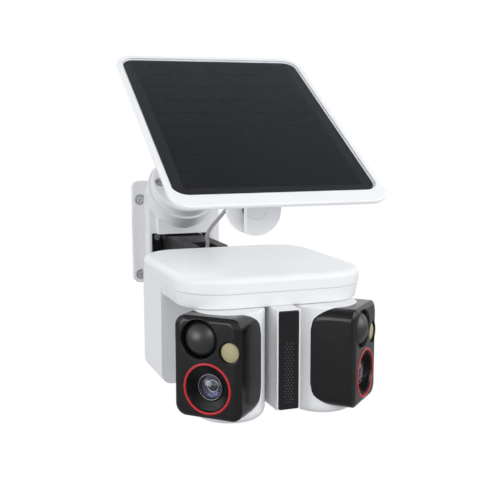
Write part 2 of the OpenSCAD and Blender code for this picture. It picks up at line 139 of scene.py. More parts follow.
def join_seen(nodes, links, lighting, seen, output):
    """Shows one shader to the camera and lights the object with another."""
    path = nodes.new("ShaderNodeLightPath")
    mix = nodes.new("ShaderNodeMixShader")
    links.new(path.outputs["Is Camera Ray"], mix.inputs["Fac"])
    links.new(lighting, mix.inputs[1])
    links.new(seen, mix.inputs[2])
    links.new(mix.outputs["Shader"], output.inputs["Surface"])


def make_floor():
    """A plain pale floor well under the camera, which in use hangs from a wall."""
    mat, nodes, links, shader = new_material("floor_white")
    shader.inputs["Base Color"].default_value = (0.42, 0.42, 0.43, 1)
    shader.inputs["Roughness"].default_value = 0.9
    seen = nodes.new("ShaderNodeEmission")
    seen.inputs["Color"].default_value = (1, 1, 1, 1)
    join_seen(nodes, links, shader.outputs["BSDF"], seen.outputs["Emission"], nodes["Material Output"])
    half, z = FLOOR_HALF, FLOOR_Z
    corners = [(-half, -half, z), (half, -half, z), (half, half, z), (-half, half, z)]
    floor = new_object("floor", corners, [(0, 1, 2, 3)])
    floor.data.materials.append(mat)


# ---------------------------------------------------------------- mesh helpers
def new_object(name, verts, faces, matrix=None):
    """A mesh object in the scene with its faces pointing outward."""
    mesh = bpy.data.meshes.new(name)
    mesh.from_pydata([Vector(v) for v in verts], [], faces)
    if matrix is not None:
        mesh.transform(matrix)
    bm = bmesh.new()
    bm.from_mesh(mesh)
    bmesh.ops.recalc_face_normals(bm, faces=bm.faces)
    bm.to_mesh(mesh)
    bm.free()
    obj = bpy.data.objects.new(name, mesh)
    bpy.context.scene.collection.objects.link(obj)
    return obj


def smooth(obj, angle=35):
    """Smooth shading with creases kept, and flats that stay flat next to their fillets."""
    bm = bmesh.new()
    bm.from_mesh(obj.data)
    for face in bm.faces:
        face.smooth = True
    for edge in bm.edges:
        if len(edge.link_faces) == 2:
            edge.smooth = edge.calc_face_angle(0) < math.radians(angle)
    bm.to_mesh(obj.data)
    bm.free()
    weighted = obj.modifiers.new("flats", "WEIGHTED_NORMAL")
    weighted.keep_sharp = True
    return obj


def bevelled(obj, width, segments=3, angle=40):
    """Rounds the sharp edges, as a mould leaves them."""
    mod = obj.modifiers.new("edges", "BEVEL")
    mod.width = width
    mod.segments = segments
    mod.limit_method = "ANGLE"
    mod.angle_limit = math.radians(angle)
    return obj


def placed(obj, material, body, slot, *replaced):
    """Gives a finished piece its material and body, and hides the CAD nodes it stands for. The slot is not
    used.
    """
    obj.data.materials.clear()
    obj.data.materials.append(material)
    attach(obj, body)
    if replaced:
        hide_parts(*replaced)
    return obj


def rounded(w, h, r, centre=(0, 0), n=10):
    """A rounded rectangle's outline, n steps to each corner."""
    points = []
    for quarter, (sx, sy) in enumerate(((1, 1), (-1, 1), (-1, -1), (1, -1))):
        for i in range(n + 1):
            a = math.pi / 2 * (quarter + i / n)
            points.append((centre[0] + sx * (w / 2 - r) + r * math.cos(a),
                           centre[1] + sy * (h / 2 - r) + r * math.sin(a)))
    return points


def flat_ring(w, h, r, z, centre=(0, 0), n=10):
    """A rounded rectangle lying level at height z."""
    return [(x, y, z) for x, y in rounded(w, h, r, centre, n)]


def upright_ring(w, h, r, y, centre=(0, 0), n=10):
    """A rounded rectangle standing upright at depth y."""
    return [(x, y, z) for x, z in rounded(w, h, r, centre, n)]


def loft(name, rings, matrix=None, closed=False):
    """A skin over rings of equal point count: capped at both ends, or joined end to end when closed."""
    n, count = len(rings[0]), len(rings)
    verts = [p for ring in rings for p in ring]
    faces = []
    for i in range(count if closed else count - 1):
        a, b = i * n, (i + 1) % count * n
        for k in range(n):
            j = (k + 1) % n
            faces.append((a + k, a + j, b + j, b + k))
    if not closed:
        faces.append(tuple(range(n - 1, -1, -1)))
        faces.append(tuple((count - 1) * n + k for k in range(n)))
    return new_object(name, verts, faces, matrix)


def lathe(name, profile, matrix=None, steps=96):
    """A profile of (radius, height) turned about Z. A radius of 0 closes the end with a fan."""
    verts, faces, rings = [], [], []
    for r, z in profile:
        count = 1 if r < 1e-7 else steps
        rings.append([len(verts) + k for k in range(count)])
        for k in range(count):
            a = math.tau * k / steps
            verts.append((r * math.cos(a), r * math.sin(a), z))
    for a, b in zip(rings, rings[1:]):
        for k in range(steps):
            j = (k + 1) % steps
            corners = [a[k % len(a)], a[j % len(a)], b[j % len(b)], b[k % len(b)]]
            faces.append(tuple(dict.fromkeys(corners)))
    return new_object(name, verts, [f for f in faces if len(f) > 2], matrix)


def profile_mm(points, closed=False):
    """A profile given in millimetres, joined back to its first point when closed."""
    ends = points[:1] if closed else []
    return [(r * MM, z * MM) for r, z in points + ends]


def fillet(r, n=6, start=0, end=90):
    """(inward, along) offsets round a quarter turn, from the wall towards the flat."""
    angles = [math.radians(start + (end - start) * i / n) for i in range(n + 1)]
    return [(r * (1 - math.cos(a)), r * math.sin(a)) for a in angles]


def cut(obj, *cutters):
    """Cuts holes for good and removes the cutters."""
    for cutter in cutters:
        mod = obj.modifiers.new("cut", "BOOLEAN")
        mod.operation = "DIFFERENCE"
        mod.solver = "EXACT"
        mod.object = cutter
    graph = bpy.context.evaluated_depsgraph_get()
    mesh = bpy.data.meshes.new_from_object(obj.evaluated_get(graph))
    obj.modifiers.clear()
    obj.data = mesh
    for cutter in cutters:
        bpy.data.objects.remove(cutter)
    return obj


def trimmed(obj, point, normal):
    """Keeps what is behind a plane and closes the cut."""
    bm = bmesh.new()
    bm.from_mesh(obj.data)
    geometry = bm.verts[:] + bm.edges[:] + bm.faces[:]
    result = bmesh.ops.bisect_plane(bm, geom=geometry, plane_co=point, plane_no=normal, clear_outer=True)
    edges = [e for e in result["geom_cut"] if isinstance(e, bmesh.types.BMEdge)]
    bmesh.ops.edgeloop_fill(bm, edges=edges)
    bmesh.ops.recalc_face_normals(bm, faces=bm.faces)
    bm.to_mesh(obj.data)
    bm.free()
    return obj


def from_cad(node, material, edge):
    """A copy of a CAD node with its sharp edges rounded, standing for that node."""
    mesh = frame["nodes"][node].data.copy()
    bm = bmesh.new()
    bm.from_mesh(mesh)
    bmesh.ops.remove_doubles(bm, verts=bm.verts, dist=2e-6)
    bmesh.ops.dissolve_limit(bm, angle_limit=math.radians(0.8), verts=bm.verts, edges=bm.edges)
    bm.to_mesh(mesh)
    bm.free()
    obj = bpy.data.objects.new(node + "_moulded", mesh)
    bpy.context.scene.collection.objects.link(obj)
    bevelled(obj, edge * MM)
    smooth(obj)
    return placed(obj, material, BODY_OF[node], SLOT_OF[node], node)


def in_pod(side):
    """An eye's own frame: origin on its pan axis, facing -Y."""
    turn = Matrix.Rotation(SIDES[side] * POD_YAW, 4, "Z")
    return Matrix.Translation((SIDES[side] * POD_X, POD_Y, 0)) @ turn


def on_face(side, at):
    """A place on an eye's face with +Z pointing out of it."""
    return in_pod(side) @ Matrix.Translation((at[0], FACE_Y, at[1])) @ FACING


# ---------------------------------------------------------------- materials
def new_material(name):
    """A node material: itself, its nodes, its links and its shader."""
    mat = bpy.data.materials.new(name)
    mat.use_nodes = True
    tree = mat.node_tree
    return mat, tree.nodes, tree.links, tree.nodes["Principled BSDF"]


def noise(nodes, links, scale, detail, coords):
    """Smooth noise, from about 0 to 1."""
    tex = nodes.new("ShaderNodeTexNoise")
    tex.inputs["Scale"].default_value = scale
    tex.inputs["Detail"].default_value = detail
    links.new(coords, tex.inputs["Vector"])
    return tex.outputs["Fac"]


def map_range(nodes, links, source, low, high, span=(0.35, 0.65)):
    """Stretches a span of values onto low to high."""
    node = nodes.new("ShaderNodeMapRange")
    node.inputs["From Min"].default_value = span[0]
    node.inputs["From Max"].default_value = span[1]
    node.inputs["To Min"].default_value = low
    node.inputs["To Max"].default_value = high
    links.new(source, node.inputs["Value"])
    return node.outputs["Result"]


def add_bump(nodes, links, shader, height, strength, distance):
    """Fine relief, with its depth in metres."""
    node = nodes.new("ShaderNodeBump")
    node.inputs["Strength"].default_value = strength
    node.inputs["Distance"].default_value = distance
    links.new(height, node.inputs["Height"])
    links.new(node.outputs["Normal"], shader.inputs["Normal"])


def plastic(name, colour, rough, grain=2600, depth=0.03, tint=0.02, specular=0.5, coat=0.0):
    """Moulded plastic: spark-eroded grain (depth in mm), slight cloudiness in colour, uneven gloss."""
    mat, nodes, links, shader = new_material(name)
    coords = nodes.new("ShaderNodeTexCoord").outputs["Object"]
    mix = nodes.new("ShaderNodeMix")
    mix.data_type = "RGBA"
    mix.inputs["A"].default_value = (*[c * (1 - tint) for c in colour], 1)
    mix.inputs["B"].default_value = (*[min(1, c * (1 + tint)) for c in colour], 1)
    links.new(noise(nodes, links, 22, 2, coords), mix.inputs["Factor"])
    links.new(mix.outputs["Result"], shader.inputs["Base Color"])
    patches = noise(nodes, links, 160, 4, coords)
    links.new(map_range(nodes, links, patches, *rough), shader.inputs["Roughness"])
    shader.inputs["Specular IOR Level"].default_value = specular
    shader.inputs["Coat Weight"].default_value = coat
    shader.inputs["Coat Roughness"].default_value = 0.06
    add_bump(nodes, links, shader, noise(nodes, links, grain, 2, coords), 0.35, depth * MM)
    return mat


def metal(name, colour, rough, stretch=(40, 900, 900)):
    """Plated or turned metal with fine brushing."""
    mat, nodes, links, shader = new_material(name)
    mapping = nodes.new("ShaderNodeMapping")
    mapping.inputs["Scale"].default_value = stretch
    links.new(nodes.new("ShaderNodeTexCoord").outputs["Object"], mapping.inputs["Vector"])
    fine = noise(nodes, links, 1, 3, mapping.outputs["Vector"])
    shader.inputs["Base Color"].default_value = (*colour, 1)
    shader.inputs["Metallic"].default_value = 1
    links.new(map_range(nodes, links, fine, *rough), shader.inputs["Roughness"])
    add_bump(nodes, links, shader, fine, 0.25, 0.02 * MM)
    return mat


def glass(name, tint, rough, ior):
    """Clear glass with the faintest unevenness in its polish."""
    mat, nodes, links, shader = new_material(name)
    coords = nodes.new("ShaderNodeTexCoord").outputs["Object"]
    shader.inputs["Base Color"].default_value = (*tint, 1)
    shader.inputs["Transmission Weight"].default_value = 1
    shader.inputs["IOR"].default_value = ior
    patches = noise(nodes, links, 300, 2, coords)
    links.new(map_range(nodes, links, patches, *rough), shader.inputs["Roughness"])
    return mat


def make_materials():
    """Every finish by name."""
    return {
        "white": plastic("white_plastic", (0.83, 0.835, 0.85), (0.34, 0.46), specular=0.4),
        "bright": plastic("white_panel_plastic", (0.88, 0.885, 0.90), (0.34, 0.46), specular=0.4),
        "grey": plastic("grey_rubber", (0.26, 0.265, 0.275), (0.55, 0.70), 3500, 0.05),
        "cable": plastic("grey_cable_jacket", (0.30, 0.305, 0.315), (0.40, 0.55), 4200, 0.03),
        "gloss": plastic("black_gloss_plastic", (0.004, 0.004, 0.0045), (0.16, 0.24),
                         900, 0.002, 0.1, 0.36, 0.06),
        "black": plastic("black_matt_plastic", (0.010, 0.011, 0.012), (0.42, 0.58), 2400, 0.03, 0.1, 0.3),
        "hood": plastic("black_lens_hood", (0.003, 0.003, 0.0035), (0.18, 0.26), 2600, 0.002, 0.1, 0.5),
        "hole": plastic("grille_mesh_grey", (0.075, 0.068, 0.068), (0.5, 0.6), 3000, 0.02, 0.1),
        "red": plastic("red_ring_lacquer", (0.50, 0.010, 0.018), (0.22, 0.32), 1800, 0.01, 0.05, 0.4, 0.1),
        "steel": metal("zinc_plated_steel", (0.62, 0.63, 0.65), (0.22, 0.38)),
        "nylon": plastic("natural_nylon", (0.72, 0.69, 0.58), (0.40, 0.50), 1500),
        "battery": plastic("blue_shrink_sleeve", (0.05, 0.17, 0.46), (0.20, 0.30), 700),
        "board": plastic("green_solder_mask", (0.02, 0.16, 0.08), (0.25, 0.35), 1200),
        "cell": plastic("black_solar_cell", (0.0060, 0.0065, 0.0075), (0.40, 0.50), 1300, 0.002, 0.14, 0.12),
        "backsheet": plastic("charcoal_backsheet", (0.020, 0.0205, 0.023), (0.45, 0.55),
                             1800, 0.002, 0.05, 0.12),
        "busbar": metal("silver_busbar", (0.030, 0.031, 0.034), (0.50, 0.65)),
        "cover": glass("cover_glass", (0.98, 0.99, 1.0), (0.00, 0.02), 1.10),
        "lens": glass("lens_glass", (0.86, 0.90, 1.0), (0.00, 0.02), 1.5),
        "coating": metal("violet_lens_coating", (0.055, 0.055, 0.085), (0.12, 0.20), (300, 300, 300)),
        "trim": metal("lens_trim_ring", (0.20, 0.20, 0.22), (0.20, 0.30)),
        "pupil": plastic("lens_pupil", (0.002, 0.002, 0.003), (0.05, 0.10), 900, 0.001, 0.1, 0.6),
        "dome": plastic("smoked_dome", (0.006, 0.006, 0.0065), (0.30, 0.38), 700, 0.004, 0.1, 0.8),
        "phosphor": plastic("cream_phosphor", (0.40, 0.36, 0.20), (0.30, 0.45), 900, 0.06, 0.16),
    }


# ---------------------------------------------------------------- cable
def spline(points, per_span=6):
    """A smooth line through the points (Catmull-Rom)."""
    ends = [points[0] * 2 - points[1]] + points + [points[-1] * 2 - points[-2]]
    out = []
    for a, b, c, d in zip(ends, ends[1:], ends[2:], ends[3:]):
        for i in range(per_span):
            t = i / per_span
            out.append(0.5 * (2 * b + (c - a) * t + (2 * a - 5 * b + 4 * c - d) * t * t
                              + (3 * b - a - 3 * c + d) * t ** 3))
    return out + [points[-1]]


def tube_rings(path, radius, steps=14):
    """Rings round a path, carried along without twist."""
    rings = []
    side = Vector((1, 0, 0))
    for i, point in enumerate(path):
        along = (path[min(i + 1, len(path) - 1)] - path[max(i - 1, 0)]).normalized()
        side = (side - along * side.dot(along)).normalized()
        up = along.cross(side)
        angles = [math.tau * k / steps for k in range(steps)]
        rings.append([point + radius * (side * math.cos(a) + up * math.sin(a)) for a in angles])
    return rings


def make_cable(m):
    """The solar lead hanging from the arm's underside to the plug on the back of the head."""
    path = spline([Vector(p) * MM for p in CABLE])
    lead = loft("solar_lead", tube_rings(path, CABLE_R))
    smooth(lead, 60)
    lead.data.materials.append(m["cable"])
    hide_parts("solar_cable")
    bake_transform(lead)


# ---------------------------------------------------------------- CAD nodes that keep their shape
def dress_cad_nodes(m):
    """Copies with moulded edges for what is seen, and plain materials for what is hardly seen."""
    edges = {
        "white": {"wall_plate": 1.2, "bracket_housing": 1.4, "knuckle_lug": 1.0, "lug_cap": 0.2,
                  "panel_bracket": 0.5, "centre_bar": 1.0, "service_flap": 0.5},
        "black": {"hinge_clevis": 0.9, "rear_knuckle": 0.7, "friction_washer": 0.2, "service_frame": 0.2},
        "grey": {"cable_plug": 0.7},
    }
    for material, rows in edges.items():
        for node, edge in rows.items():
            from_cad(node, m[material], edge)
    plain = {
        "steel": ["wall_screws", "bracket_screws", "hinge_bolt", "hinge_nut", "arm_screws", "clamp_stud",
                  "tilt_pin", "panel_screws", "usb_socket", "wifi_antenna", "left_motor", "right_motor",
                  "power_button", "reset_button"],
        "nylon": ["left_spindle", "right_spindle", "left_pinion", "right_pinion"],
        "grey": ["cable_grommet", "lid_seal"],
        "black": ["speaker"],
        "battery": ["battery_pack"],
        "board": ["main_board"],
    }
    for material, names in plain.items():
        for node in names:
            materials = frame["nodes"][node].data.materials
            materials.clear()
            materials.append(m[material])


# ---------------------------------------------------------------- solar arm and knuckle
def make_arm(m):
    """The slanted disc, and the bent tube that carries the panel's knuckle."""
    disc_r, thick, rim = 35.5 * MM, 13 * MM, 2.0 * MM
    profile = [(0, 0), (disc_r - 0.5 * MM, 0), (disc_r, 0.5 * MM), (disc_r, thick - rim)]
    profile += [(disc_r - inward, thick - rim + up) for inward, up in fillet(rim)]
    profile += [(24 * MM, thick), (20.5 * MM, thick + 0.4 * MM), (15.5 * MM, thick + 5 * MM),
                (11.6 * MM, thick + 13 * MM), (9.6 * MM, thick + 19 * MM), (0, thick + 20 * MM)]
    disc = lathe("arm_disc", profile, ON_DISC)
    recesses = []
    for quarter in range(4):
        turn = Matrix.Rotation(math.pi / 2 * quarter, 4, "Z") @ Matrix.Translation((ARM_SCREW_AT, 0, 5 * MM))
        well = [(0, 0), (5.2 * MM, 0), (5.2 * MM, 20 * MM), (0, 20 * MM)]
        recesses.append(lathe(f"recess_{quarter}", well, ON_DISC @ turn, 40))
    cut(disc, *recesses)
    smooth(disc, 32)
    placed(disc, m["white"], "wall_mount", SLOT_OF["solar_arm"], "solar_arm")
    start = ON_DISC @ Vector((0, 0, 27 * MM))
    rise = ON_DISC.to_3x3() @ Vector((0, 0, 1))
    line = [start, start + rise * 5 * MM, Vector((0, -72, 71.4)) * MM, Vector((0, -84, 72)) * MM,
            Vector((0, -120, 71)) * MM, Vector((0, -165, 69)) * MM, Vector((0, -203, 67)) * MM]
    tube = loft("arm_tube", tube_rings(spline(line), 9 * MM, 40))
    smooth(tube, 50)
    placed(tube, m["white"], "wall_mount", SLOT_OF["solar_arm"])
    neck_line = [(-200, 67.3, 9), (-207, 66.2, 9.2), (-216, 62, 10.6), (-225, 57.2, 12.4), (-231, 54.4, 13.6),
                 (-235, 53, 14), (-241.7, 53, 14), (-242.5, 53, 13.5), (-242.5, 53, 5)]
    rings = []
    for y, z, r in neck_line:
        rings.append([(r * MM * math.cos(a), y * MM, (z + r * math.sin(a)) * MM)
                      for a in (math.tau * k / 48 for k in range(48))])
    neck = smooth(loft("arm_neck", rings), 50)
    placed(neck, m["white"], "wall_mount", SLOT_OF["solar_arm"])
    gland = Matrix.Translation(Vector(CABLE[0]) * MM)
    boss = [(3.1, 0.8), (4.6, 0.8), (5.0, 1.2), (5.0, 6.0), (3.1, 6.0)]
    ring = lathe("cable_boss", profile_mm(boss, closed=True), gland, 48)
    placed(smooth(ring, 40), m["white"], "wall_mount", SLOT_OF["solar_arm"])


def make_hand_nut(m):
    """The ribbed hand nut that clamps the knuckle."""
    low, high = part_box("hand_nut")
    centre_z = (low.z + high.z) / 2
    ribs, outer, root, lip = 60, 22 * MM, 21.2 * MM, 1.3 * MM
    rows = [(low.y, 0.6), (low.y, 0.83), (low.y + 0.2 * MM, 0.90), (low.y + lip, 1.0), (high.y - lip, 1.0),
            (high.y - 0.2 * MM, 0.90), (high.y, 0.83), (high.y, 0.6)]
    rings = []
    for y, share in rows:
        ring = []
        for i in range(ribs * 4):
            a = math.tau * i / (ribs * 4)
            wave = 0.5 + 0.5 * math.cos(ribs * a)
            r = (root + (outer - root) * wave) * share
            ring.append((r * math.cos(a), y, centre_z + r * math.sin(a)))
        rings.append(ring)
    nut = smooth(loft("hand_nut_ribbed", rings), 40)
    placed(nut, m["white"], "hand_nut", SLOT_OF["hand_nut"], "hand_nut")


# ---------------------------------------------------------------- solar panel
def make_panel_frame(m):
    """The rim round the glass: narrow at the sides and back, wide along the front edge."""
    glass_w, glass_l, side, front = 173 * MM, 218 * MM, 4.5 * MM, 15 * MM
    w, l, centre = glass_w + 2 * side, glass_l + side + front, (0, (side - front) / 2)
    top, low, edge, drop = 0.8 * MM, -6 * MM, 1.4 * MM, -2.4 * MM
    rings = [flat_ring(w - 22 * MM, l - 22 * MM, 7 * MM, low, centre),
             flat_ring(w - 12 * MM, l - 12 * MM, 11 * MM, low, centre),
             flat_ring(w - 1.0 * MM, l - 1.0 * MM, 16.5 * MM, drop - 0.4 * MM, centre),
             flat_ring(w, l, 17 * MM, drop + 0.3 * MM, centre)]
    for inward, up in fillet(edge):
        rings.append(flat_ring(w - 2 * inward, l - 2 * inward, 17 * MM - inward, top - edge + up, centre))
    rings += [flat_ring(glass_w + 0.5 * MM, glass_l + 0.5 * MM, 13.2 * MM, top),
              flat_ring(glass_w, glass_l, 13 * MM, top - 0.3 * MM),
              flat_ring(glass_w, glass_l, 13 * MM, -1.2 * MM),
              flat_ring(glass_w - 11 * MM, glass_l - 11 * MM, 8 * MM, -3.3 * MM)]
    rim = smooth(loft("panel_rim", rings, ON_PANEL, closed=True), 30)
    placed(rim, m["bright"], "panel", SLOT_OF["panel_frame"], "panel_frame")
    back = [flat_ring(w - 38 * MM, l - 38 * MM, 10 * MM, -12 * MM, centre),
            flat_ring(w - 31 * MM, l - 31 * MM, 13 * MM, -12 * MM, centre),
            flat_ring(w - 28 * MM, l - 28 * MM, 13 * MM, -11.4 * MM, centre),
            flat_ring(w - 13 * MM, l - 13 * MM, 11 * MM, -6.8 * MM, centre),
            flat_ring(w - 12.4 * MM, l - 12.4 * MM, 11 * MM, -6.05 * MM, centre)]
    tray = smooth(loft("panel_tray", back, ON_PANEL), 25)
    placed(tray, m["bright"], "panel", SLOT_OF["panel_back"], "panel_back")


def make_cells(m):
    """Nine rows of cells in two columns on a charcoal sheet, with busbars, under one sheet of glass."""
    sheet_w, sheet_l = 172.8 * MM, 217.8 * MM
    sheet = [flat_ring(sheet_w, sheet_l, 12.9 * MM, z * MM) for z in (-3.2, -1.75)]
    base = smooth(loft("panel_backsheet", sheet, ON_PANEL))
    placed(base, m["backsheet"], "panel", SLOT_OF["solar_cells"], "solar_cells")
    rows, columns, space = 9, 2, 0.7 * MM
    left, right, low, high = -75.5 * MM, 75.5 * MM, -98 * MM, 103.5 * MM
    pitch_x, pitch_y = (right - left) / columns, (high - low) / rows
    half_bar = 0.25 * MM
    tiles, bars = [], []
    for i in range(columns):
        for j in range(rows):
            centre = (left + pitch_x * (i + 0.5), low + pitch_y * (j + 0.5))
            tiles.append(flat_ring(pitch_x - space, pitch_y - space, 0.5 * MM, 0, centre, 2))
        for k in range(3):
            x = left + pitch_x * (i + (k + 0.5) / 3)
            corners = ((-1, low), (1, low), (1, high), (-1, high))
            bars.append([(x + edge * half_bar, y, 0) for edge, y in corners])
    slabs("solar_tiles", tiles, -1.74 * MM, -1.56 * MM, m["cell"], SLOT_OF["solar_cells"])
    slabs("solar_busbars", bars, -1.57 * MM, -1.52 * MM, m["busbar"], SLOT_OF["solar_cells"])
    cover = [flat_ring(sheet_w - 0.6 * MM, sheet_l - 0.6 * MM, 12.6 * MM, -1.4 * MM),
             flat_ring(sheet_w, sheet_l, 12.9 * MM, -1.1 * MM),
             flat_ring(sheet_w, sheet_l, 12.9 * MM, -0.1 * MM),
             flat_ring(sheet_w - 0.6 * MM, sheet_l - 0.6 * MM, 12.6 * MM, 0.2 * MM)]
    pane = smooth(loft("panel_pane", cover, ON_PANEL))
    placed(pane, m["cover"], "panel", SLOT_OF["panel_glass"], "panel_glass")


def slabs(name, outlines, low, high, material, slot):
    """Flat slabs on the panel, all in one piece."""
    verts, faces = [], []
    for outline in outlines:
        n, base = len(outline), len(verts)
        verts += [(x, y, low) for x, y, _ in outline] + [(x, y, high) for x, y, _ in outline]
        faces += [(base + k, base + (k + 1) % n, base + n + (k + 1) % n, base + n + k) for k in range(n)]
        faces += [tuple(base + k for k in reversed(range(n))), tuple(base + n + k for k in range(n))]
    placed(new_object(name, verts, faces, ON_PANEL), material, "panel", slot)


# ---------------------------------------------------------------- camera head
def make_lid(m):
    """The top lid: an upright rim, a generous top edge and a slight crown."""
    low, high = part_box("top_lid")
    w, d = high.x - low.x, high.y - low.y
    centre = ((high.x + low.x) / 2, (high.y + low.y) / 2)
    corner, edge, crown = LID_CORNER, 6 * MM, 1.4 * MM
    flat = high.z - crown

    def ring(inset, z):
        return flat_ring(w - 2 * inset, d - 2 * inset, corner - inset, z, centre, 16)

    rings = [ring(3 * MM, low.z + 5 * MM), ring(3 * MM, low.z), ring(1.2 * MM, low.z)]
    rings += [ring(1.2 * MM - 1.2 * MM * math.sin(a), low.z + 1.2 * MM * (1 - math.cos(a)))
              for a in (math.radians(d) for d in (30, 60, 90))]
    rings += [ring(inward, flat - edge + up) for inward, up in fillet(edge, 8, 0, 82)]
    for step in range(1, 8):
        share = step / 7
        inset = edge + (corner - edge) * share * 0.97
        rings.append(ring(inset, flat + crown * math.sin(math.pi / 2 * share)))
    lid = smooth(loft("lid", rings), 50)
    placed(lid, m["white"], "camera", SLOT_OF["top_lid"], "top_lid")


def make_skirt(m):
    """The tapered skirt under the lid's front, over the eyes."""
    top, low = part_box("head_chassis")[1].z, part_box("head_chassis")[0].z
    lid_low, lid_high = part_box("top_lid")
    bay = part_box("rear_housing")[0].y
    w, d = lid_high.x - lid_low.x, lid_high.y - lid_low.y
    centre = (0, (lid_low.y + lid_high.y) / 2)
    depth = top - low
    # (inset in mm, share of the way down)
    taper = ((1.0, 0), (1.0, 0.10), (1.2, 0.24), (1.5, 0.42), (1.9, 0.6),
             (2.3, 0.76), (2.7, 0.88), (3.2, 0.96), (3.8, 0.995), (4.8, 1.0))
    rings = []
    for inset, share in taper:
        i = inset * MM
        rings.append(flat_ring(w - 2 * i, d - 2 * i, LID_CORNER - i, top - depth * share, centre, 16))
    skirt = loft("skirt", rings)
    trimmed(skirt, (0, bay, 0), (0, 1, 0))
    smooth(skirt, 40)
    placed(skirt, m["white"], "camera", SLOT_OF["head_chassis"], "head_chassis")


def make_rear_housing(m):
    """The rear housing: flat sides, large back corners and a rounded floor edge."""
    low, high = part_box("rear_housing")
    half, corner, edge = (high.x - low.x) / 2, 24 * MM, 9 * MM

    def plan(inset, z):
        x, back, r = half - inset, high.y - inset, corner - inset
        points = [(x, low.y)]
        points += [(x - r + r * math.cos(a), back - r + r * math.sin(a)) for a in quarter(0)]
        points += [(r - x + r * math.cos(a), back - r + r * math.sin(a)) for a in quarter(1)]
        points.append((-x, low.y))
        return [(px, py, z) for px, py in points]

    def quarter(index):
        return [math.pi / 2 * (index + i / 12) for i in range(13)]

    rings = [plan(0.5 * MM, high.z), plan(0, high.z - 0.5 * MM)]
    rings += [plan(inward, low.z + edge - along) for inward, along in fillet(edge, 8)]
    shell = bevelled(loft("rear_shell", rings), 1.5 * MM, 3, 60)
    frame_low, frame_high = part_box("service_frame")
    lip = 2 * MM  # how far the service frame reaches past its opening on each side
    w, h = frame_high.x - frame_low.x - 2 * lip, frame_high.z - frame_low.z - 2 * lip
    middle = ((frame_low.x + frame_high.x) / 2, (frame_low.z + frame_high.z) / 2)
    pocket = [upright_ring(w, h, 0.8 * MM, y, middle, 4) for y in (frame_low.y - 0.2 * MM, high.y + MM)]
    cut(shell, loft("service_pocket", pocket))
    smooth(shell, 40)
    placed(shell, m["white"], "camera", SLOT_OF["rear_housing"], "rear_housing", "front_wall")


def make_bar_front(m):
    """The black strip on the centre bar: a plain sensor window above a grille of staggered holes."""
    low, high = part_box("speaker_grille")[0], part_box("sensor_window")[1]
    w, h, front = high.x - low.x, high.z - low.z, low.y
    centre = (0, (low.z + high.z) / 2)
    rings = [upright_ring(w, h, 1.6 * MM, front + 1.4 * MM, centre, 5),
             upright_ring(w, h, 1.6 * MM, front + 0.5 * MM, centre, 5),
             upright_ring(w - 0.3 * MM, h - 0.3 * MM, 1.5 * MM, front + 0.15 * MM, centre, 5),
             upright_ring(w - MM, h - MM, 1.2 * MM, front, centre, 5)]
    strip = loft("bar_strip", rings)
    rows, hole, pitch = 22, 0.5 * MM, 2.25 * MM
    verts, faces = [], []
    for row in range(rows):
        for column in (-1, 0, 1):
            x = (column + (0.25 if row % 2 else -0.25)) * 2.6 * MM
            z = low.z + 6 * MM + row * pitch
            stud(verts, faces, (x, front - 0.01 * MM, z), hole)
    smooth(strip, 30)
    placed(strip, m["gloss"], "camera", SLOT_OF["speaker_grille"], "speaker_grille", "sensor_window")
    mesh = new_object("grille_mesh", verts, faces)
    placed(mesh, m["hole"], "camera", SLOT_OF["speaker_grille"])


def stud(verts, faces, at, radius, steps=10):
    """Adds one small round stud, standing just proud of the strip, that reads as a grille hole."""
    base = len(verts)
    for r, y in ((radius, 0.0), (radius * 0.8, -0.12 * MM)):
        for k in range(steps):
            a = math.tau * k / steps
            verts.append((at[0] + r * math.cos(a), at[1] + y, at[2] + r * math.sin(a)))
    faces += [(base + k, base + (k + 1) % steps, base + steps + (k + 1) % steps, base + steps + k)
              for k in range(steps)]
    faces.append(tuple(base + steps + k for k in range(steps)))
    faces.append(tuple(base + k for k in reversed(range(steps))))


# ---------------------------------------------------------------- eyes
def make_pod(side, m):
    """The white round body of an eye."""
    low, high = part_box(side + "_pod_body")
    r, edge = POD_R, 8 * MM
    profile = [(0, low.z)]
    profile += [(r - inward, low.z + edge - along) for inward, along in reversed(fillet(edge, 10))]
    profile += [(r, high.z - 1.5 * MM), (r - 0.4 * MM, high.z - 0.5 * MM)]
    profile += [(r - 1.5 * MM, high.z), (0, high.z)]
    pod = smooth(lathe(side + "_pod_shell", profile, in_pod(side), 128), 50)
    placed(pod, m["white"], side + "_pod", SLOT_OF[side + "_pod_body"], side + "_pod_body")


def make_face(side, m):
    """The black face: flat in front, with corners that open out as it wraps back round the body."""
    w, h, centre = 57.5 * MM, 80 * MM, (0, -59.0 * MM)
    # (depth, inset across, inset down, corner radius) in mm
    sections = ((-1.5, 0, 0, 20), (-2, 0, 0, 18), (-2.6, 0, 0, 15), (-4, 0, 0, 12.2),
                (-7, 0, 0, 10.6), (-12, 0, 0, 9.6), (-20, 0, 0, 9.2), (-34.8, 0, 0, 9.2),
                (-35.6, 0.2, 0.15, 9.1), (-36.2, 0.8, 0.6, 8.8), (-37.0, 2.4, 1.6, 8.2),
                (-37.6, 4.0, 2.7, 7.6), (-37.9, 5.2, 3.5, 7.1), (-38, 6.4, 4.4, 6.6))
    rings = [upright_ring(w - 2 * across * MM, h - 2 * down * MM, corner * MM, y * MM, centre, 14)
             for y, across, down, corner in sections]
    shell = loft(side + "_face", rings, in_pod(side))
    holes = ((LENS_AT, 20.4, -12), (PIR_AT, 16.0, -8), (LAMP_AT, 9.0, -5))
    cutters = []
    for i, (at, radius, depth) in enumerate(holes):
        tool = [(0, depth * MM), (radius * MM, depth * MM), (radius * MM, 9 * MM), (0, 9 * MM)]
        cutters.append(lathe(f"{side}_hole_{i}", tool, on_face(side, at), 72))
    cut(shell, *cutters)
    smooth(shell, 30)
    placed(shell, m["gloss"], side + "_pod", SLOT_OF[side + "_face_shell"], side + "_face_shell")


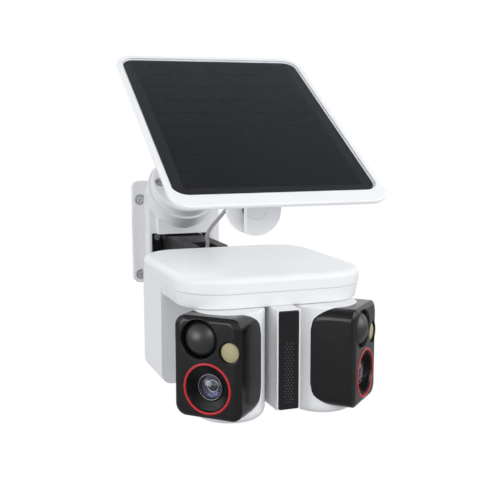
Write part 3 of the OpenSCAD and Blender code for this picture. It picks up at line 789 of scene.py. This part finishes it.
def make_lens(side, m):
    """The red ring, the stepped hood, the coated elements and the front glass."""
    body, place = side + "_pod", on_face(side, LENS_AT)
    ring = [(18.5, -3.5), (18.5, 0.1), (18.7, 0.4), (19.1, 0.5), (19.8, 0.5), (20.2, 0.35), (20.38, 0.05),
            (20.38, -3.5)]
    red = lathe(side + "_red_ring", profile_mm(ring, closed=True), place, 128)
    placed(smooth(red, 40), m["red"], body, SLOT_OF[side + "_lens_ring"], side + "_lens_ring")
    hood = [(18.7, -3.5), (18.45, -0.2), (18.0, -0.2), (17.6, -1.0)]
    steps, outer, inner, front, back = 6, 17.4, 11.4, -1.4, -6.2
    for i in range(steps):
        r = outer + (inner - outer) * i / steps
        z = front + (back - front) * i / steps
        hood += [(r, z), (r - 0.22, z + 0.30), (r - 0.45, z + 0.25), (r - 0.62, z - 0.9), (r - 0.92, z - 0.9)]
    hood += [(inner - 0.1, back), (11.0, -5.6), (10.8, -5.2), (10.2, -5.1), (9.7, -5.3),
             (9.4, -5.9), (9.2, -6.6), (9.1, -7.4), (11, -12), (18.7, -12)]
    barrel = lathe(side + "_hood", profile_mm(hood, closed=True), place, 128)
    placed(smooth(barrel, 28), m["hood"], body, SLOT_OF[side + "_lens_barrel"], side + "_lens_barrel")
    rim = [(10.3, -5.15), (10.15, -4.9), (9.9, -4.85), (9.65, -5.0), (9.6, -5.4), (10.3, -5.6)]
    trim = lathe(side + "_lens_trim", profile_mm(rim, closed=True), place, 128)
    placed(smooth(trim, 50), m["trim"], body, SLOT_OF[side + "_lens_barrel"])
    iris = [(9.1, -6.9), (8.3, -7.0), (8.2, -7.5), (7.2, -7.8), (7.1, -8.3),
            (6.1, -8.6), (6.0, -9.1), (5.0, -9.4), (4.9, -10.4), (9.1, -10.4)]
    coated = lathe(side + "_lens_elements", profile_mm(iris, closed=True), place, 96)
    placed(smooth(coated, 20), m["coating"], body, SLOT_OF[side + "_lens_barrel"])
    pupil = [(0, -7.9), (1.4, -8.0), (2.6, -8.3), (3.6, -8.9), (4.6, -10.0), (0, -10.2)]
    eye = lathe(side + "_lens_pupil", profile_mm(pupil), place, 64)
    placed(smooth(eye, 40), m["pupil"], body, SLOT_OF[side + "_lens_barrel"])
    rise = 0.62
    outer = [(9.3 * math.sin(a) / math.sin(rise), -5.6 + 15.8 * (math.cos(a) - math.cos(rise)))
             for a in (rise * i / 12 for i in range(13))]
    inner = [(r * 0.985, z - 0.35) for r, z in reversed(outer)]
    front_glass = lathe(side + "_lens_glass", profile_mm(outer + inner), place, 96)
    placed(smooth(front_glass, 40), m["lens"], body, SLOT_OF[side + "_lens_barrel"])


def make_sensors(side, m):
    """The smoked dome and the lamp beside it, each in its own recess."""
    body = side + "_pod"
    place = on_face(side, PIR_AT)
    lip = [(16.6, -3.5), (16.6, 0.05), (16.4, 0.3), (16.0, 0.38), (15.6, 0.2), (15.2, -0.6), (14.7, -2.6),
           (14.3, -3.0), (14.3, -5.5), (16.6, -5.5)]
    ring = lathe(side + "_dome_seat", profile_mm(lip, closed=True), place, 96)
    placed(smooth(ring, 50), m["gloss"], body, SLOT_OF[side + "_pir_dome"])
    radius, top, reach = 17.5, 3.4, 0.918
    angles = [reach * i / 16 for i in range(17)]
    arc = [(radius * math.sin(a), top - radius * (1 - math.cos(a))) for a in angles]
    dome = lathe(side + "_dome", profile_mm(arc + [(13.9, -5), (0, -5)]), place, 96)
    placed(smooth(dome, 50), m["dome"], body, SLOT_OF[side + "_pir_dome"], side + "_pir_dome")
    place = on_face(side, LAMP_AT)
    bezel = [(9.3, -3.9), (9.3, -0.75), (9.1, -0.6), (8.8, -0.7), (8.5, -1.6), (8.3, -2.9), (7.7, -3.0),
             (7.7, -4.3), (9.3, -4.3)]
    seat = lathe(side + "_lamp_seat", profile_mm(bezel, closed=True), place, 72)
    placed(smooth(seat, 50), m["gloss"], body, SLOT_OF[side + "_spotlight"])
    lamp = [(0, -1.2), (2.5, -1.25), (5.0, -1.45), (6.8, -1.8), (7.5, -2.2), (7.65, -4.2), (0, -4.2)]
    disc = lathe(side + "_lamp", profile_mm(lamp), place, 72)
    placed(smooth(disc, 50), m["phosphor"], body, SLOT_OF[side + "_spotlight"], side + "_spotlight")


# ---------------------------------------------------------------- the scene
make_camera()
MATERIALS = make_materials()
dress_cad_nodes(MATERIALS)
make_cable(MATERIALS)
make_arm(MATERIALS)
make_hand_nut(MATERIALS)
make_panel_frame(MATERIALS)
make_cells(MATERIALS)
make_lid(MATERIALS)
make_skirt(MATERIALS)
make_rear_housing(MATERIALS)
make_bar_front(MATERIALS)
for eye_side in SIDES:
    make_pod(eye_side, MATERIALS)
    make_face(eye_side, MATERIALS)
    make_lens(eye_side, MATERIALS)
    make_sensors(eye_side, MATERIALS)
make_world()
make_floor()
make_softbox("left", (-1.9, -0.75, 0.15), (1.3, 0.9), 11)
make_softbox("front", (0.4, -1.9, 0.9), (1.6, 0.9), 12)
make_softbox("right", (1.6, -1.0, 0.8), (1.0, 1.2), 9)
make_softbox("back", (-0.2, 1.5, 1.2), (1.6, 1.0), 8)
bpy.context.scene.view_settings.view_transform = "Standard"
